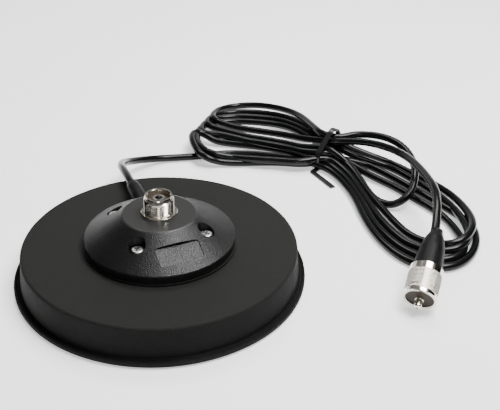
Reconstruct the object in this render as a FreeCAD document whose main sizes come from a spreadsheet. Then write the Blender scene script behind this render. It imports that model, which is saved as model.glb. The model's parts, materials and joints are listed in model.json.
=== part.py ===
import FreeCAD, Part
import math
import os
import re
import Sketcher
from FreeCAD import Placement, Rotation, Vector

# Magnetic antenna base with a threaded coaxial socket, a tied hank of coaxial lead and its plug.
# Millimetres, +Z up, origin on the floor at the centre of the round base.

doc = FreeCAD.newDocument("magnetic_antenna_base")
sheet = doc.addObject("Spreadsheet::Sheet", "Sizes")

SIZES = [
    # rubber boot over the magnet: flared rim, drawn-in wall, flat top
    ("rim_radius", 78.4),
    ("rim_bevel", 1.2),
    ("bead_height", 3.6),
    ("bead_round", 0.5),
    ("bead_width", 1.2),
    ("flange_height", 2.7),
    ("rim_reach", 3.4),
    ("foot_cove", 0.9),
    ("wall_draft", 1.5),
    ("boot_height", 20.0),
    ("boot_edge_round", 1.5),
    ("boot_skin", 2.2),
    ("boot_wall", 2.2),
    ("boot_gap", 0.1),
    ("lip_width", 1.7),
    ("lip_thick", 1.2),
    ("pad_gap", 0.2),
    # pressed steel cup and the ferrite ring inside it
    ("cup_plate", 3.0),
    ("cup_wall", 2.5),
    ("cup_round", 2.0),
    ("magnet_gap", 3.7),
    ("nut_room", 1.5),
    ("magnet_chamfer", 1.0),
    # moulded hub: low cone with a flat top, standing on a thin gasket
    ("hub_radius", 40.2),
    ("hub_edge_height", 5.7),
    ("hub_flat_radius", 19.3),
    ("cone_rise", 12.9),
    ("hub_wall", 2.6),
    ("hub_roof", 3.2),
    ("hub_cone_wall", 3.0),
    ("hub_edge_round", 0.6),
    ("gasket_thick", 1.2),
    ("gasket_proud", 0.6),
    ("gasket_width", 4.2),
    # four screws through the hub into nuts under the steel cup
    ("screw_inset", 13.7),
    ("screw_azimuth", -19.0),
    ("screw_radius", 2.0),
    ("screw_tip_below_nut", 1.2),
    ("screw_hole_gap", 0.2),
    ("head_radius", 3.4),
    ("head_height", 2.5),
    ("head_dome", 0.9),
    ("head_seat_rise", 3.8),
    ("cross_length", 3.8),
    ("cross_width", 0.75),
    ("cross_depth", 1.3),
    ("well_radius", 4.35),
    ("boss_radius", 6.2),
    ("thread_gap", 0.05),
    ("nut_flats", 7.0),
    ("nut_height", 3.2),
    # bare flat recess in the cone, where a label would sit
    ("label_azimuth", -64.0),
    ("label_width", 23.4),
    ("label_inner_inset", 15.7),
    ("label_outer_inset", 6.1),
    ("label_inner_depth", 2.19),
    ("label_outer_depth", 1.665),
    ("label_corner", 1.5),
    # threaded socket on the hub's flat top
    ("socket_flange_radius", 9.64),
    ("socket_flange_thick", 1.1),
    ("socket_flange_bevel", 0.25),
    ("socket_thread_radius", 7.94),
    ("socket_thread_length", 7.2),
    ("socket_thread_chamfer", 0.55),
    ("socket_nose_radius", 7.3),
    ("socket_nose_length", 1.35),
    ("socket_rim_radius", 7.06),
    ("socket_rim_bevel", 0.6),
    ("socket_bore_radius", 5.85),
    ("socket_bore_bevel", 0.35),
    ("socket_shank_radius", 6.4),
    ("socket_shank_length", 8.2),
    ("socket_shank_bore", 5.0),
    ("socket_seat_depth", 8.4),
    ("socket_notch_width", 1.6),
    ("socket_notch_depth", 1.0),
    ("socket_notch_reach", 0.6),
    ("insulator_depth", 2.8),
    ("insulator_tail", 1.2),
    ("fit_gap", 0.03),
    ("contact_radius", 3.1),
    ("contact_bore", 2.05),
    ("contact_depth", 1.6),
    ("contact_bore_length", 9.2),
    ("contact_shoulder_cover", 1.8),
    ("contact_neck_radius", 1.7),
    ("contact_neck_length", 4.5),
    ("contact_cup_bore", 1.05),
    ("contact_cup_depth", 2.6),
    ("contact_slit", 0.5),
    ("contact_slit_length", 6.0),
    ("washer_thick", 0.8),
    ("washer_radius", 9.4),
    ("tag_thick", 0.6),
    ("tag_radius", 8.8),
    ("tag_reach", 14.0),
    ("tag_width", 4.0),
    ("tag_eye", 0.9),
    ("socket_nut_flats", 17.0),
    ("socket_nut_height", 3.0),
    # moulded strain relief where the lead leaves the hub
    ("lead_azimuth", 113.5),
    ("lead_tilt", 5.0),
    ("lead_exit_rise", 0.5),
    ("sleeve_inset", 6.5),
    ("sleeve_radius", 4.6),
    ("sleeve_nose_radius", 4.1),
    ("sleeve_straight", 16.0),
    ("sleeve_length", 20.3),
    ("sleeve_end_radius", 3.3),
    ("sleeve_blend", 2.4),
    ("sleeve_notch_gap", 0.1),
    # coaxial lead
    ("cable_diameter", 4.95),
    ("cable_gap", 0.12),
    ("core_radius", 0.9),
    ("braid_radius", 0.9),
    ("conductor_gap", 0.2),
    ("strip_inset", 6.7),
    ("core_bend_radius", 10.0),
    ("core_dip", 4.6),
    ("core_fall", 0.4),
    ("core_end_gap", 0.4),
    ("braid_overlap", 0.4),
    ("braid_rise", 2.2),
    ("solder_gap", 0.7),
    # plug, measured along its axis from the mouth of its coupling ring
    ("plug_mouth_x", 135.76),
    ("plug_mouth_y", -29.45),
    ("plug_tilt", 23.0),
    ("plug_azimuth", 70.5),
    ("plug_floor_gap", 0.05),
    ("ring_radius", 9.1),
    ("ring_band_radius", 8.9),
    ("ring_length", 19.0),
    ("ring_front_band", 2.2),
    ("ring_rear_band", 4.6),
    ("ring_lip_bevel", 0.35),
    ("ring_rear_bevel", 0.7),
    ("ring_bore_radius", 7.5),
    ("ring_flange_length", 4.5),
    ("running_gap", 0.05),
    ("plug_neck_radius", 6.3),
    ("plug_head_radius", 7.2),
    ("plug_head_length", 4.4),
    ("plug_face_depth", 0.6),
    ("insulator_cap", 0.9),
    ("insulator_plug_radius", 5.2),
    ("insulator_plug_length", 6.4),
    ("plug_neck_end", 20.0),
    ("plug_barrel_radius", 5.5),
    ("plug_barrel_end", 31.0),
    ("plug_cable_bore", 3.6),
    ("pin_radius", 1.98),
    ("pin_reach", 5.5),
    ("pin_collar_radius", 2.35),
    ("pin_collar_length", 1.4),
    ("pin_nose_round", 1.2),
    ("pin_rear", 12.0),
    ("pin_wire_bore", 0.6),
    ("ferrule_start", 16.0),
    ("boot_ring_gap", 0.35),
    ("plug_boot_radius", 7.95),
    ("plug_boot_waist_radius", 6.7),
    ("plug_boot_waist", 32.0),
    ("plug_boot_shoulder_radius", 5.2),
    ("plug_boot_shoulder", 38.5),
    ("plug_boot_neck_radius", 3.3),
    ("plug_boot_neck", 43.2),
    ("plug_boot_end", 44.5),
    ("plug_boot_blend", 6.0),
    ("plug_boot_gap", 0.1),
    ("plug_cable_start", 17.0),
    # hank of coaxial lead and its flat tie
    ("hank_height", 10.0),
    ("hank_round", 3.0),
    ("waist_x", 97.0),
    ("waist_y", 130.0),
    ("waist_azimuth", -36.9),
    ("waist_half_length", 7.0),
    ("waist_half_width", 13.5),
    ("waist_half_thick", 6.5),
    ("waist_round", 6.0),
    ("waist_lean", 38.0),
    ("waist_offset", 3.9),
    ("waist_middle", 12.3),
    ("tie_gap", 0.2),
    ("tie_thick", 0.9),
    ("tie_width", 3.6),
    ("tie_turn", 13.0),
    ("tie_strip_length", 24.0),
    # how far a cutting shape reaches past the surface it starts from
    ("cut_past", 1.0),
    ("tie_strip_turn", -23.0),
]

for row, (alias, number) in enumerate(SIZES, start=1):
    sheet.set(f"A{row}", alias)
    sheet.set(f"B{row}", str(number))
    sheet.setAlias(f"B{row}", alias)
doc.recompute()
ALIASES = {alias for alias, number in SIZES}


def linked(text):
    """The expression with each size's name turned into its cell of the sheet."""
    def cell(word):
        return f"Sizes.{word.group()}" if word.group() in ALIASES else word.group()

    return re.sub(r"[a-z][a-z_]+", cell, text)


def value(text):
    """What an expression on the sizes is worth now, as a number."""
    result = sheet.evalExpression(linked(text))
    return float(getattr(result, "Value", result))


# Heights and places that several pieces share, each worked out from the sizes above.
FOOT_RADIUS = "(rim_radius - rim_reach)"
BOOT_RADIUS = f"({FOOT_RADIUS} - wall_draft)"
CUP_RADIUS = f"({BOOT_RADIUS} - boot_wall - boot_gap)"
LIP_RADIUS = f"({CUP_RADIUS} - lip_width)"
MAGNET_RADIUS = f"({CUP_RADIUS} - cup_wall - magnet_gap)"
SCREW_CIRCLE = "(hub_radius - screw_inset)"
MAGNET_BORE = f"({SCREW_CIRCLE} + nut_flats / sqrt(3) + nut_room)"
CUP_TOP = "(boot_height - boot_skin)"
CUP_UNDERSIDE = f"({CUP_TOP} - cup_plate)"
HUB_FOOT = "(boot_height + gasket_thick)"
HUB_SHOULDER = "(boot_height + hub_edge_height)"
HUB_TOP = f"({HUB_SHOULDER} + cone_rise)"
HUB_SLOPE = "(cone_rise / (hub_radius - hub_flat_radius))"
HEAD_SEAT = f"({HUB_SHOULDER} + head_seat_rise)"
ROOF_UNDERSIDE = f"({HUB_TOP} - hub_roof)"
STRIP_START = "(hub_radius - strip_inset)"
SOCKET_THREAD_FOOT = f"({HUB_TOP} + socket_flange_thick)"
SOCKET_THREAD_TOP = f"({SOCKET_THREAD_FOOT} + socket_thread_length)"
SOCKET_NOSE_TOP = f"({SOCKET_THREAD_TOP} + socket_thread_chamfer + socket_nose_length)"
SOCKET_TOP = f"({SOCKET_NOSE_TOP} + socket_rim_bevel)"
SOCKET_SEAT = f"({SOCKET_TOP} - socket_seat_depth)"
SHANK_FOOT = f"({HUB_TOP} - socket_shank_length)"
CONTACT_TOP = f"({SOCKET_TOP} - contact_depth)"
CONTACT_SHOULDER = f"({SHANK_FOOT} - insulator_tail + contact_shoulder_cover)"
CONTACT_FOOT = f"({CONTACT_SHOULDER} - contact_neck_length)"


def origin_feature(body, role):
    """One of a body's own origin planes or axes."""
    return next(feature for feature in body.Origin.OriginFeatures if feature.Role == role)


def new_body(label):
    body = doc.addObject("PartDesign::Body", label + "_body")
    body.Label = label
    return body


def new_sketch(body, name, plane, height="0"):
    """A sketch on one of the body's origin planes, lifted along its normal."""
    sketch = body.newObject("Sketcher::SketchObject", name)
    sketch.AttachmentSupport = [(origin_feature(body, plane), "")]
    sketch.MapMode = "FlatFace"
    sketch.setExpression(".AttachmentOffset.Base.z", linked(height))
    return sketch


def place_point(sketch, geometry, corner, x_text, y_text):
    """Tie one point of a sketch to two expressions, or to an axis where one of them is 0."""
    if x_text == "0":
        sketch.addConstraint(Sketcher.Constraint("PointOnObject", geometry, corner, -2))
    else:
        index = sketch.addConstraint(Sketcher.Constraint("DistanceX", -1, 1, geometry, corner, value(x_text)))
        sketch.setExpression(f"Constraints[{index}]", linked(x_text))
    if y_text == "0":
        sketch.addConstraint(Sketcher.Constraint("PointOnObject", geometry, corner, -1))
    else:
        index = sketch.addConstraint(Sketcher.Constraint("DistanceY", -1, 1, geometry, corner, value(y_text)))
        sketch.setExpression(f"Constraints[{index}]", linked(y_text))


def outline(sketch, corners):
    """A closed outline of straight lines, each corner tied to the sizes."""
    places = [Vector(value(x_text), value(y_text), 0) for x_text, y_text in corners]
    for index, start in enumerate(places):
        sketch.addGeometry(Part.LineSegment(start, places[(index + 1) % len(places)]), False)
    for index in range(len(places)):
        sketch.addConstraint(Sketcher.Constraint("Coincident", index, 2, (index + 1) % len(places), 1))
    for index, (x_text, y_text) in enumerate(corners):
        place_point(sketch, index, 1, x_text, y_text)


def circle(sketch, radius_text, x_text="0", y_text="0"):
    """A circle whose centre and radius are tied to the sizes."""
    centre = Vector(value(x_text), value(y_text), 0)
    index = sketch.addGeometry(Part.Circle(centre, Vector(0, 0, 1), value(radius_text)), False)
    place_point(sketch, index, 3, x_text, y_text)
    radius = sketch.addConstraint(Sketcher.Constraint("Radius", index, value(radius_text)))
    sketch.setExpression(f"Constraints[{radius}]", linked(radius_text))


def revolved(body, name, corners):
    """A full turn of a half section about the body's Z axis; corners are (radius, height)."""
    sketch = new_sketch(body, name + "_section", "XZ_Plane")
    outline(sketch, corners)
    turn = body.newObject("PartDesign::Revolution", name)
    turn.Profile = sketch
    turn.ReferenceAxis = (sketch, ["V_Axis"])
    turn.Angle = 360
    sketch.Visibility = False
    doc.recompute()
    return turn


def padded(body, name, sketch, length_text, downwards=False):
    pad = body.newObject("PartDesign::Pad", name)
    pad.Profile = sketch
    pad.setExpression("Length", linked(length_text))
    pad.Reversed = downwards
    doc.recompute()
    return pad


def pocketed(body, name, sketch, length_text):
    """A pocket downwards from its sketch; stops the build if it takes nothing away."""
    before = body.Shape.Volume
    pocket = body.newObject("PartDesign::Pocket", name)
    pocket.Profile = sketch
    pocket.setExpression("Length", linked(length_text))
    doc.recompute()
    if not body.Shape.Volume < before:
        raise RuntimeError(name + " cuts nothing")
    return pocket


def around_axis(body, name, feature, count, angle=360):
    """Copies of a feature about the body's Z axis."""
    pattern = body.newObject("PartDesign::PolarPattern", name)
    pattern.Originals = [feature]
    pattern.Axis = (origin_feature(body, "Z_Axis"), [""])
    pattern.Angle = angle
    pattern.Occurrences = count
    body.Tip = pattern
    doc.recompute()
    return pattern


def ring_edges(shape, radius, height):
    """Names of a shape's circular edges of one radius at one height, about its own Z axis."""
    names = []
    for index, edge in enumerate(shape.Edges, start=1):
        curve = edge.Curve
        if isinstance(curve, Part.Circle) and math.isclose(curve.Radius, radius, abs_tol=1e-4):
            centre = curve.Center
            if math.isclose(centre.z, height, abs_tol=1e-4) and math.hypot(centre.x, centre.y) < 1e-4:
                names.append(f"Edge{index}")
    return names


def rounded(body, name, feature, radius_text, height_text, round_text):
    """A fillet on the circular edge of that radius and height."""
    fillet = body.newObject("PartDesign::Fillet", name)
    fillet.Base = (feature, ring_edges(feature.Shape, value(radius_text), value(height_text)))
    fillet.setExpression("Radius", linked(round_text))
    body.Tip = fillet
    doc.recompute()
    return fillet


def cylinder(name, radius_text, height_text, base_text="0"):
    item = doc.addObject("Part::Cylinder", name)
    item.setExpression("Radius", linked(radius_text))
    item.setExpression("Height", linked(height_text))
    item.setExpression(".Placement.Base.z", linked(base_text))
    return item


def cut(label, base, tool):
    """Base less tool, both kept as the history of a new object."""
    item = doc.addObject("Part::Cut", label)
    item.Base = base
    item.Tool = tool
    item.Label = label
    doc.recompute()
    return item


def fused(name, items):
    item = doc.addObject("Part::MultiFuse", name)
    item.Shapes = items
    doc.recompute()
    return item


def solid_feature(label, shape):
    """A sub-part whose shape is worked out here from the sheet's sizes."""
    item = doc.addObject("Part::Feature", label)
    item.Label = label
    item.Shape = shape
    return item


def polar(radius, azimuth, height=0.0):
    angle = math.radians(azimuth)
    return Vector(radius * math.cos(angle), radius * math.sin(angle), height)


def screw_holes(body, name, radius_text, top_text, depth_text):
    """Four holes on the screws' circle, down from a height."""
    sketch = new_sketch(body, name + "_outline", "XY_Plane", top_text)
    x_text = f"{SCREW_CIRCLE} * cos(screw_azimuth * 1deg)"
    y_text = f"{SCREW_CIRCLE} * sin(screw_azimuth * 1deg)"
    circle(sketch, radius_text, x_text, y_text)
    hole = pocketed(body, name + "_first", sketch, depth_text)
    return around_axis(body, name, hole, 4)


PARTS = []


def keep(item):
    PARTS.append(item)
    return item


# Base: boot, pad, cup, magnet


def make_rubber_boot():
    body = new_body("rubber_boot")
    skirt = revolved(body, "boot_form", [
        (LIP_RADIUS, "0"),
        ("rim_radius - rim_bevel", "0"),
        ("rim_radius", "rim_bevel"),
        ("rim_radius", "bead_height - bead_round"),
        ("rim_radius - bead_round", "bead_height"),
        ("rim_radius - bead_width", "bead_height"),
        ("rim_radius - bead_width - bead_round", "flange_height"),
        (f"{FOOT_RADIUS} + foot_cove", "flange_height"),
        (FOOT_RADIUS, "flange_height + foot_cove"),
        (BOOT_RADIUS, "boot_height"),
        ("0", "boot_height"),
        ("0", CUP_TOP),
        (f"{CUP_RADIUS} + boot_gap", CUP_TOP),
        (f"{CUP_RADIUS} + boot_gap", "lip_thick"),
        (LIP_RADIUS, "lip_thick"),
    ])
    rounded(body, "boot_edge", skirt, BOOT_RADIUS, "boot_height", "boot_edge_round")
    depth = "boot_skin + cut_past"
    screw_holes(body, "boot_screw_holes", "screw_radius + screw_hole_gap", "boot_height", depth)
    return keep(body)


def make_base_pad():
    body = new_body("base_pad")
    sketch = new_sketch(body, "pad_outline", "XY_Plane")
    circle(sketch, f"{LIP_RADIUS} - pad_gap")
    padded(body, "pad_disc", sketch, "lip_thick")
    return keep(body)


def make_steel_cup():
    body = new_body("steel_cup")
    pressing = revolved(body, "cup_form", [
        ("0", CUP_TOP),
        ("0", CUP_UNDERSIDE),
        (f"{CUP_RADIUS} - cup_wall", CUP_UNDERSIDE),
        (f"{CUP_RADIUS} - cup_wall", "lip_thick"),
        (CUP_RADIUS, "lip_thick"),
        (CUP_RADIUS, CUP_TOP),
    ])
    rounded(body, "cup_edge", pressing, CUP_RADIUS, CUP_TOP, "cup_round")
    screw_holes(body, "cup_screw_holes", "screw_radius + screw_hole_gap", CUP_TOP, "cup_plate + cut_past")
    return keep(body)


def make_ring_magnet():
    body = new_body("ring_magnet")
    top = CUP_UNDERSIDE
    revolved(body, "magnet_form", [
        (MAGNET_BORE, "lip_thick"),
        (f"{MAGNET_RADIUS} - magnet_chamfer", "lip_thick"),
        (MAGNET_RADIUS, "lip_thick + magnet_chamfer"),
        (MAGNET_RADIUS, f"{top} - magnet_chamfer"),
        (f"{MAGNET_RADIUS} - magnet_chamfer", top),
        (MAGNET_BORE, top),
    ])
    return keep(body)


# Hub: gasket, moulded cone, screws and nuts


def make_hub_gasket():
    body = new_body("hub_gasket")
    sketch = new_sketch(body, "gasket_outline", "XY_Plane", "boot_height")
    circle(sketch, "hub_radius + gasket_proud")
    circle(sketch, "hub_radius + gasket_proud - gasket_width")
    padded(body, "gasket_ring", sketch, "gasket_thick")
    return keep(body)


def make_hub_form():
    """The hub's outside, with its screw wells and the socket's hole."""
    body = new_body("hub_form")
    cone = revolved(body, "hub_outside", [
        ("0", "boot_height"),
        ("hub_radius", "boot_height"),
        ("hub_radius", HUB_SHOULDER),
        ("hub_flat_radius", HUB_TOP),
        ("0", HUB_TOP),
    ])
    edged = rounded(body, "hub_edge", cone, "hub_radius", HUB_SHOULDER, "hub_edge_round")
    rounded(body, "hub_flat_edge", edged, "hub_flat_radius", HUB_TOP, "hub_edge_round")
    through = f"{HUB_TOP} - boot_height + cut_past"
    screw_holes(body, "hub_wells", "well_radius", HUB_TOP, f"{HUB_TOP} - {HEAD_SEAT}")
    screw_holes(body, "hub_screw_holes", "screw_radius + screw_hole_gap", HUB_TOP, through)
    sketch = new_sketch(body, "socket_hole_outline", "XY_Plane", HUB_TOP)
    circle(sketch, "socket_shank_radius + thread_gap")
    pocketed(body, "socket_hole", sketch, through)
    return body


def make_hub_cavity():
    """What is hollow under the hub: the room inside its walls less the four screw bosses."""
    body = new_body("hub_cavity")
    roof_edge = f"(hub_flat_radius + (hub_roof - hub_cone_wall) / {HUB_SLOPE})"
    wall_top = f"({HUB_SHOULDER} + hub_wall * {HUB_SLOPE} - hub_cone_wall)"
    revolved(body, "hub_inside", [
        ("0", "boot_height - cut_past"),
        ("hub_radius + cut_past", "boot_height - cut_past"),
        ("hub_radius + cut_past", HUB_FOOT),
        ("hub_radius - hub_wall", HUB_FOOT),
        ("hub_radius - hub_wall", wall_top),
        (roof_edge, ROOF_UNDERSIDE),
        ("0", ROOF_UNDERSIDE),
    ])
    screw_holes(body, "hub_bosses", "boss_radius", HUB_TOP, f"{HUB_TOP} - boot_height + 2 * cut_past")
    return body


def make_label_tool():
    """A rounded plate above the label recess's floor, tilted to lie along the cone."""
    inner_height = value(f"{HUB_SHOULDER} + label_inner_inset * {HUB_SLOPE} - label_inner_depth")
    outer_height = value(f"{HUB_SHOULDER} + label_outer_inset * {HUB_SLOPE} - label_outer_depth")
    rise = inner_height - outer_height
    run = value("label_inner_inset - label_outer_inset")
    length = math.hypot(rise, run)
    half_width = value("label_width / 2")
    corner = value("label_corner")
    reach = value("2 * label_inner_depth + cut_past")
    plate = Part.makeBox(length, 2 * half_width, reach, Vector(-length / 2, -half_width, 0))
    upright = [edge for edge in plate.Edges if abs(edge.tangentAt(edge.FirstParameter).z) > 0.9]
    plate = plate.makeFillet(corner, upright)
    tool = solid_feature("label_recess_tool", plate)
    middle_radius = value("hub_radius - (label_inner_inset + label_outer_inset) / 2")
    azimuth = value("label_azimuth")
    middle = polar(middle_radius, azimuth, (inner_height + outer_height) / 2)
    lean = Rotation(Vector(0, 1, 0), math.degrees(math.atan2(rise, run)))
    tool.Placement = Placement(middle, Rotation(Vector(0, 0, 1), azimuth) * lean)
    return tool


def lead_frame():
    """Where the lead passes the hub's wall and which way it points."""
    azimuth = value("lead_azimuth")
    tilt = math.radians(value("lead_tilt"))
    along = polar(math.cos(tilt), azimuth, math.sin(tilt))
    return polar(value("hub_radius"), azimuth, value(f"{HUB_SHOULDER} + lead_exit_rise")), along


def on_lead_axis(radius):
    """The point of the lead's straight exit at a distance from the hub's axis."""
    wall_point, along = lead_frame()
    tilt = math.radians(value("lead_tilt"))
    return wall_point + along * ((radius - value("hub_radius")) / math.cos(tilt))


def make_outlet_tool():
    """An open-bottomed notch for the strain relief, from outside the hub to where it opens into the hub."""
    wall_point, along = lead_frame()
    radius = value("sleeve_radius + sleeve_notch_gap")
    wall = value("lead_exit_rise + hub_cone_wall + sleeve_radius + sleeve_notch_gap")
    inset = wall / (value(HUB_SLOPE) + along.z)
    start = on_lead_axis(value("hub_radius") - inset)
    length = inset + radius
    bore = Part.makeCylinder(radius, length, start, along)
    depth = start.z - value("boot_height - cut_past")
    slot = Part.makeBox(length, 2 * radius, depth, Vector(0, -radius, -depth))
    slot.Placement = Placement(start, Rotation(Vector(0, 0, 1), value("lead_azimuth")))
    return solid_feature("outlet_tool", bore.fuse(slot).removeSplitter())


def make_hub_cover():
    form = make_hub_form()
    hollow = cut("hub_shell", form, make_hub_cavity())
    tools = fused("hub_tools", [make_label_tool(), make_outlet_tool()])
    return keep(cut("hub_cover", hollow, tools))


def make_hub_screws():
    seat = value(HEAD_SEAT)
    nut_foot = value(f"{CUP_UNDERSIDE} - nut_height")
    tip = nut_foot - value("screw_tip_below_nut")
    radius = value("screw_radius")
    head_radius = value("head_radius")
    head_top = seat + value("head_height")
    head = Part.makeCylinder(head_radius, value("head_height"), Vector(0, 0, seat))
    top_edges = [edge for edge in head.Edges if edge.BoundBox.ZMin > head_top - 1e-6]
    head = head.makeFillet(value("head_dome"), top_edges)
    shank = Part.makeCylinder(radius, seat - tip, Vector(0, 0, tip))
    tip_edges = [edge for edge in shank.Edges if edge.BoundBox.ZMax < tip + 1e-6]
    shank = shank.makeChamfer(radius / 4, tip_edges)
    screw = head.fuse(shank)
    length = value("cross_length")
    width = value("cross_width")
    floor = head_top - value("cross_depth")
    reach = value("cross_depth + cut_past")
    for along, across in ((length, width), (width, length)):
        slot = Part.makeBox(along, across, reach, Vector(-along / 2, -across / 2, floor))
        screw = screw.cut(slot)
    screw = screw.removeSplitter()
    return keep(solid_feature("hub_screws", Part.makeCompound(four_around(screw))))


def four_around(shape):
    """Four copies on the screws' circle."""
    copies = []
    for quarter in range(4):
        azimuth = value("screw_azimuth") + 90 * quarter
        copy = shape.copy()
        copy.Placement = Placement(polar(value(SCREW_CIRCLE), azimuth), Rotation(Vector(0, 0, 1), azimuth))
        copies.append(copy)
    return copies


def hexagon_prism(flats, height, base):
    """A six-sided prism by its width across flats, its points eased by a cone as on a real nut."""
    corner = flats / math.sqrt(3)
    points = [polar(corner, 60 * side, base) for side in range(7)]
    prism = Part.Face(Part.makePolygon(points)).extrude(Vector(0, 0, height))
    eased = Part.makeCone(flats / 2 * 1.02 + height * 1.6, flats / 2 * 1.02, height, Vector(0, 0, base))
    return prism.common(eased)


def make_hub_nuts():
    base = value(f"{CUP_UNDERSIDE} - nut_height")
    prism = hexagon_prism(value("nut_flats"), value("nut_height"), base)
    hole = Part.makeCylinder(value("screw_radius + thread_gap"), value("nut_height"), Vector(0, 0, base))
    return keep(solid_feature("hub_nuts", Part.makeCompound(four_around(prism.cut(hole)))))


# Socket: shell, insulator, contact, washer, tag and nut


def make_socket_shell():
    body = new_body("socket_shell")
    nose_foot = f"({SOCKET_THREAD_TOP} + socket_thread_chamfer)"
    revolved(body, "shell_form", [
        ("socket_shank_bore", SHANK_FOOT),
        ("socket_shank_radius", SHANK_FOOT),
        ("socket_shank_radius", HUB_TOP),
        ("socket_flange_radius", HUB_TOP),
        ("socket_flange_radius", f"{SOCKET_THREAD_FOOT} - socket_flange_bevel"),
        ("socket_flange_radius - socket_flange_bevel", SOCKET_THREAD_FOOT),
        ("socket_thread_radius", SOCKET_THREAD_FOOT),
        ("socket_thread_radius", SOCKET_THREAD_TOP),
        ("socket_nose_radius", nose_foot),
        ("socket_nose_radius", SOCKET_NOSE_TOP),
        ("socket_rim_radius", SOCKET_TOP),
        ("socket_bore_radius + socket_bore_bevel", SOCKET_TOP),
        ("socket_bore_radius", f"{SOCKET_TOP} - socket_bore_bevel"),
        ("socket_bore_radius", SOCKET_SEAT),
        ("socket_shank_bore", SOCKET_SEAT),
    ])
    sketch = new_sketch(body, "notch_outline", "XY_Plane", SOCKET_TOP)
    inner = "(socket_bore_radius - cut_past)"
    outer = "(socket_bore_radius + socket_notch_reach)"
    outline(sketch, [
        (inner, "-socket_notch_width / 2"),
        (outer, "-socket_notch_width / 2"),
        (outer, "socket_notch_width / 2"),
        (inner, "socket_notch_width / 2"),
    ])
    notch = pocketed(body, "notch", sketch, "socket_notch_depth")
    around_axis(body, "notches", notch, 4)
    return keep(body)


def make_socket_insulator():
    body = new_body("socket_insulator")
    inner = "(contact_radius + fit_gap)"
    face = f"({SOCKET_TOP} - insulator_depth)"
    revolved(body, "socket_insulator_form", [
        (inner, f"{SHANK_FOOT} - insulator_tail"),
        ("socket_shank_bore - fit_gap", f"{SHANK_FOOT} - insulator_tail"),
        ("socket_shank_bore - fit_gap", SOCKET_SEAT),
        ("socket_bore_radius - fit_gap", SOCKET_SEAT),
        ("socket_bore_radius - fit_gap", face),
        (inner, face),
    ])
    return keep(body)


def make_socket_contact():
    """The centre contact: a split tube above, a solder cup below."""
    body = new_body("socket_contact")
    revolved(body, "contact_form", [
        ("contact_cup_bore", CONTACT_FOOT),
        ("contact_neck_radius", CONTACT_FOOT),
        ("contact_neck_radius", CONTACT_SHOULDER),
        ("contact_radius", CONTACT_SHOULDER),
        ("contact_radius", CONTACT_TOP),
        ("contact_bore", CONTACT_TOP),
        ("contact_bore", f"{CONTACT_TOP} - contact_bore_length"),
        ("0", f"{CONTACT_TOP} - contact_bore_length"),
        ("0", f"{CONTACT_FOOT} + contact_cup_depth"),
        ("contact_cup_bore", f"{CONTACT_FOOT} + contact_cup_depth"),
    ])
    sketch = new_sketch(body, "slit_outline", "XY_Plane", CONTACT_TOP)
    outline(sketch, [
        ("contact_bore / 2", "-contact_slit / 2"),
        ("contact_radius + cut_past", "-contact_slit / 2"),
        ("contact_radius + cut_past", "contact_slit / 2"),
        ("contact_bore / 2", "contact_slit / 2"),
    ])
    slit = pocketed(body, "slit", sketch, "contact_slit_length")
    around_axis(body, "slits", slit, 4)
    return keep(body)


WASHER_BASE = f"({ROOF_UNDERSIDE} - washer_thick)"
TAG_BASE = f"({WASHER_BASE} - tag_thick)"
SOCKET_NUT_BASE = f"({TAG_BASE} - socket_nut_height)"


def make_lock_washer():
    washer = cylinder("washer_disc", "washer_radius", "washer_thick", WASHER_BASE)
    hole = cylinder("washer_hole", "socket_shank_radius + thread_gap", "washer_thick", WASHER_BASE)
    return keep(cut("lock_washer", washer, hole))


def make_ground_tag():
    """A thin ring under the washer with a solder lug that points at the lead."""
    base = value(TAG_BASE)
    thick = value("tag_thick")
    reach = value("tag_reach")
    width = value("tag_width")
    ring = Part.makeCylinder(value("tag_radius"), thick, Vector(0, 0, base))
    lug = Part.makeBox(reach - width / 2, width, thick, Vector(0, -width / 2, base))
    tip = Part.makeCylinder(width / 2, thick, Vector(reach - width / 2, 0, base))
    eye = Part.makeCylinder(value("tag_eye"), thick, Vector(reach - width / 2, 0, base))
    hole = Part.makeCylinder(value("socket_shank_radius + thread_gap"), thick, Vector(0, 0, base))
    tag = ring.fuse([lug, tip]).cut(hole).cut(eye).removeSplitter()
    item = solid_feature("ground_tag", tag)
    item.Placement = Placement(Vector(0, 0, 0), Rotation(Vector(0, 0, 1), value("lead_azimuth")))
    return keep(item)


def make_socket_nut():
    base = value(SOCKET_NUT_BASE)
    prism = hexagon_prism(value("socket_nut_flats"), value("socket_nut_height"), base)
    height = value("socket_nut_height")
    hole = Part.makeCylinder(value("socket_shank_radius + thread_gap"), height, Vector(0, 0, base))
    return keep(solid_feature("socket_nut", prism.cut(hole)))


# Coaxial lead: strain relief, stripped ends, tubes, hank and tie


def tube(label, points, diameter):
    """Straight runs joined by tangent arcs, each as large as its two runs allow."""
    radii = []
    edges = []
    last = points[0]
    length = 0.0
    for before, corner, after in zip(points, points[1:], points[2:]):
        back = (before - corner).normalize()
        ahead = (after - corner).normalize()
        half_turn = (math.pi - back.getAngle(ahead)) / 2
        setback = 0.45 * min((corner - before).Length, (after - corner).Length)
        radius = setback / math.tan(half_turn)
        radii.append(round(radius, 1))
        start = corner + back * setback
        end = corner + ahead * setback
        inward = (back + ahead).normalize()
        middle = corner + inward * (radius / math.cos(half_turn) - radius)
        edges.append(Part.LineSegment(last, start).toShape())
        edges.append(Part.Arc(start, middle, end).toShape())
        length += (start - last).Length + 2 * radius * half_turn
        last = end
    edges.append(Part.LineSegment(last, points[-1]).toShape())
    length += (points[-1] - last).Length
    path = Part.Wire(edges)
    ring = Part.Wire(Part.makeCircle(diameter / 2, points[0], points[1] - points[0]))
    solid = path.makePipeShell([ring], True, False)
    expected = math.pi * diameter ** 2 / 4 * length
    if not math.isclose(solid.Volume, expected, rel_tol=0.01):
        raise RuntimeError(label + " has lost its volume")
    runs = [round((end - start).Length, 1) for start, end in zip(points, points[1:])]
    print(label, "length", round(length, 1), "radii", radii, "runs", runs)
    return solid


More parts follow.
